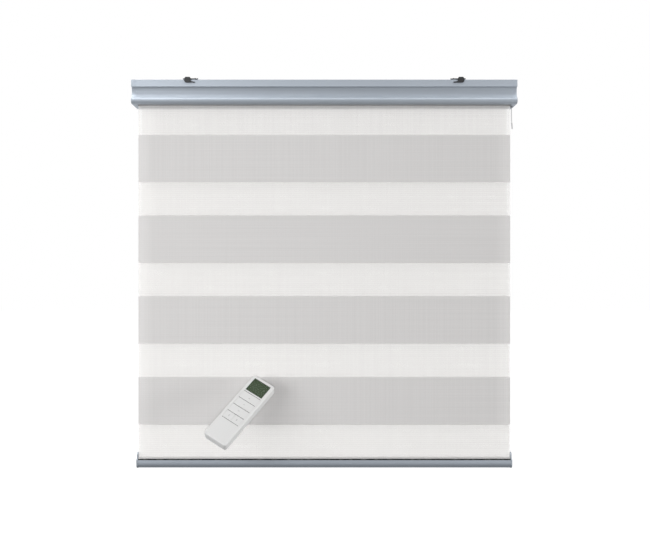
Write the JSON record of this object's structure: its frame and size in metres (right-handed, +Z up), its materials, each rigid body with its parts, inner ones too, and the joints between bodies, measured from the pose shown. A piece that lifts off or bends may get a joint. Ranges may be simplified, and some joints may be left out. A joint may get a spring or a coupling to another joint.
{
  "type": "day and night roller blind",
  "caption": "Motor-driven day and night roller blind with banded double fabric, aluminium cassette, weighted bottom bar and remote control.",
  "frame": {"origin": "middle of the four ceiling screw holes, on the ceiling plane", "axes": "+X to the right seen from the room, +Y back to the window or wall, +Z up"},
  "size_m": [0.82, 0.1851, 0.8336],
  "materials": {
    "satin_aluminium": "fine satin anodised, silver",
    "grey_plastic": "moulded plastic, silver grey",
    "black_steel": "black powder coat",
    "bright_steel": "zinc plated steel",
    "tube_aluminium": "mill finish",
    "roller_steel": "drawn steel tube",
    "white_strip": "extruded plastic",
    "banded_fabric": "alternating dense and sheer bands, warm light grey",
    "motor_white": "smooth white paint",
    "black_plastic": "glass-filled plastic",
    "orange_plastic": "moulded plastic",
    "board_green": "lacquered glass fibre board",
    "cell_wrap": "shrunk plastic sleeve",
    "lead_grey": "thin vinyl insulation, light grey",
    "dark_rubber": "soft moulded rubber",
    "remote_white": "fine matt moulding, white",
    "clear_window": "clear plastic",
    "display_grey": "unlit liquid crystal panel"
  },
  "bodies": {
    "headrail": {"headrail_profile": "satin_aluminium", "front_fascia": "satin_aluminium", "end_cap_left": "grey_plastic", "end_cap_right": "grey_plastic", "end_cap_screws": "bright_steel", "bracket_plate_left": "black_steel", "bracket_plate_right": "black_steel", "bracket_rivets": "bright_steel", "idler_pin": "bright_steel", "motor_housing": "motor_white", "motor_head": "black_plastic", "gearbox_case": "black_plastic", "dc_motor": "roller_steel", "control_board": "board_green", "battery_cells": "cell_wrap", "antenna_wire": "lead_grey", "antenna_tip": "lead_grey", "wire_grommet": "dark_rubber", "fabric_front": "banded_fabric", "fabric_rear": "banded_fabric", "rear_insert_strip": "white_strip", "remote_front_shell": "remote_white", "remote_rear_shell": "remote_white", "remote_window": "clear_window", "remote_display": "display_grey", "remote_board": "board_green", "remote_switches": "roller_steel", "remote_cells": "cell_wrap", "remote_contacts": "roller_steel"},
    "roller": {"roller_tube": "tube_aluminium", "roller_insert_strip": "white_strip", "fabric_roll": "banded_fabric", "idler_plug": "black_plastic", "drive_crown": "black_plastic", "drive_wheel": "black_plastic", "output_shaft": "bright_steel"},
    "bottom_bar": {"bottom_bar_profile": "satin_aluminium", "bottom_bar_cap_left": "grey_plastic", "bottom_bar_cap_right": "grey_plastic", "fabric_turn": "banded_fabric"},
    "bottom_roller": {"bottom_roller": "roller_steel", "bottom_roller_pins": "bright_steel"},
    "latch_left": {"bracket_latch_left": "black_steel"},
    "latch_right": {"bracket_latch_right": "black_steel"},
    "programming_button": {"programming_button": "orange_plastic"},
    "key_up": {"remote_key_up": "remote_white"},
    "key_stop": {"remote_key_stop": "remote_white"},
    "key_down": {"remote_key_down": "remote_white"},
    "key_previous": {"remote_key_previous": "remote_white"},
    "key_next": {"remote_key_next": "remote_white"},
    "battery_door": {"remote_battery_door": "remote_white"}
  },
  "joints": [
    {"name": "bottom_bar_lift", "type": "slide", "parent": "headrail", "child": "bottom_bar", "axis": [0, 0, 1], "range_m": [0, 0.735], "deforming": ["fabric_front", "fabric_rear"]},
    {"name": "roller_spin", "type": "hinge", "parent": "headrail", "child": "roller", "pos_m": [0, 0, -0.03461], "axis": [-1, 0, 0], "range_deg": [0, 4340]},
    {"name": "bottom_roller_spin", "type": "hinge", "parent": "bottom_bar", "child": "bottom_roller", "pos_m": [0, -0.00984, -0.8217], "axis": [-1, 0, 0], "range_deg": [0, 5620]},
    {"name": "latch_left_swivel", "type": "hinge", "parent": "headrail", "child": "latch_left", "pos_m": [-0.29, 0, -0.004], "axis": [0, 0, 1], "range_deg": [0, 90]},
    {"name": "latch_right_swivel", "type": "hinge", "parent": "headrail", "child": "latch_right", "pos_m": [0.29, 0, -0.004], "axis": [0, 0, -1], "range_deg": [0, 90]},
    {"name": "programming_button_press", "type": "slide", "parent": "headrail", "child": "programming_button", "axis": [0, 0, 1], "range_m": [0, 0.001], "stiffness_N_per_m": 300},
    {"name": "key_up_press", "type": "slide", "parent": "headrail", "child": "key_up", "axis": [-0.0349, 0.7656, -0.6424], "range_m": [0, 0.0008], "stiffness_N_per_m": 500},
    {"name": "key_stop_press", "type": "slide", "parent": "headrail", "child": "key_stop", "axis": [-0.0349, 0.7656, -0.6424], "range_m": [0, 0.0008], "stiffness_N_per_m": 500},
    {"name": "key_down_press", "type": "slide", "parent": "headrail", "child": "key_down", "axis": [-0.0349, 0.7656, -0.6424], "range_m": [0, 0.0008], "stiffness_N_per_m": 500},
    {"name": "key_previous_press", "type": "slide", "parent": "headrail", "child": "key_previous", "axis": [-0.0349, 0.7656, -0.6424], "range_m": [0, 0.0008], "stiffness_N_per_m": 500},
    {"name": "key_next_press", "type": "slide", "parent": "headrail", "child": "key_next", "axis": [-0.0349, 0.7656, -0.6424], "range_m": [0, 0.0008], "stiffness_N_per_m": 500},
    {"name": "battery_door_slide", "type": "slide", "parent": "headrail", "child": "battery_door", "axis": [-0.5589, -0.5478, -0.6225], "range_m": [0, 0.066]}
  ],
  "couplings": [
    {"joint": "roller_spin", "follows": "bottom_bar_lift", "rad_per_m": 103},
    {"joint": "bottom_roller_spin", "follows": "bottom_bar_lift", "rad_per_m": 133.33}
  ]
}
